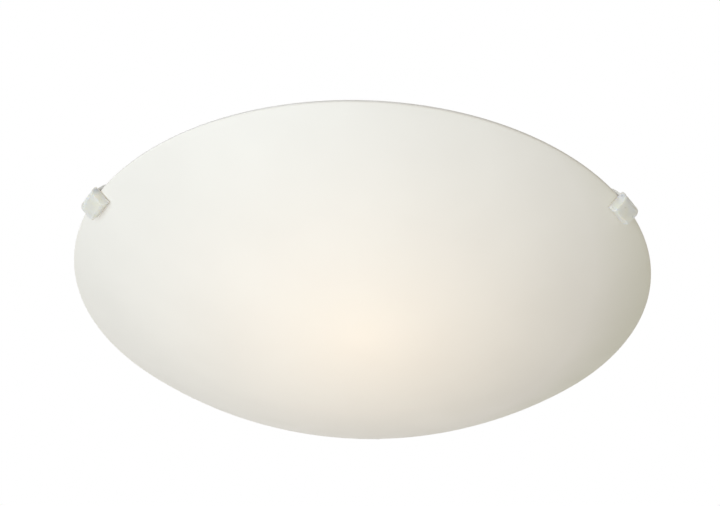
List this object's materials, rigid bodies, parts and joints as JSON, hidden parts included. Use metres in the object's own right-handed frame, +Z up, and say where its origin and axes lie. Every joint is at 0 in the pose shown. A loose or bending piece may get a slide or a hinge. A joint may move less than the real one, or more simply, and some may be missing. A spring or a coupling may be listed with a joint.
{
  "type": "flush ceiling light",
  "caption": "Round flush ceiling light: a shallow opal glass dish held at its edge by plastic hooks on steel arms under a pressed pan, with a bulb lying in its lampholder inside.",
  "frame": {"origin": "centre of the ring of the base pan that lies against the ceiling, midway between the two screw slots", "axes": "+Z points up into the ceiling and the dish hangs towards -Z; +Y points along the release arm, -Y towards the pictured side; +X is to the right in the picture"},
  "size_m": [0.2492, 0.2523, 0.082],
  "materials": {
    "pan_enamel": "semi-gloss white powder coat",
    "arm_enamel": "semi-gloss white powder coat",
    "hook_plastic": "milky translucent moulded plastic",
    "bracket_steel": "zinc-plated sheet",
    "rivet_steel": "zinc-plated",
    "screw_steel": "zinc-plated",
    "spring_steel": "bright drawn wire",
    "grommet_rubber": "matte black",
    "holder_plastic": "white thermoset moulding",
    "block_plastic": "natural white moulding",
    "contact_brass": "bright",
    "contact_solder": "dull solder",
    "cap_aluminium": "bright rolled",
    "insulator_glass": "black glass",
    "bulb_opal_glass": "opal, glossy outside",
    "wire_brown": "insulated wire",
    "wire_blue": "insulated wire",
    "wire_green": "insulated wire, green and yellow",
    "shade_opal_glass": "opal white, satin outside"
  },
  "bodies": {
    "fixture": {"base_pan": "pan_enamel", "cable_grommet": "grommet_rubber", "left_arm": "arm_enamel", "right_arm": "arm_enamel", "arm_rivets": "rivet_steel", "left_hook": "hook_plastic", "right_hook": "hook_plastic", "release_spring": "spring_steel", "release_guide": "bracket_steel", "guide_rivets": "rivet_steel", "lampholder_bracket": "bracket_steel", "bracket_rivets": "rivet_steel", "holder_screws": "screw_steel", "lampholder_body": "holder_plastic", "screw_shell": "contact_brass", "centre_contact": "contact_brass", "bulb_globe": "bulb_opal_glass", "bulb_cap": "cap_aluminium", "bulb_insulator": "insulator_glass", "bulb_contact": "contact_solder", "terminal_block": "block_plastic", "terminal_sleeves": "contact_brass", "terminal_screws": "screw_steel", "block_screws": "screw_steel", "earth_tag": "contact_brass", "earth_screw": "screw_steel", "live_wire": "wire_brown", "neutral_wire": "wire_blue", "earth_wire": "wire_green", "glass_shade": "shade_opal_glass"},
    "release_slide": {"release_arm": "arm_enamel", "release_hook": "hook_plastic", "release_rod": "screw_steel"}
  },
  "joints": [
    {"name": "release_pull", "type": "slide", "parent": "fixture", "child": "release_slide", "axis": [0, 1, 0], "range_m": [0, 0.009], "stiffness_N_per_m": 400, "springref_m": -0.01, "deforming": ["release_spring"]}
  ]
}
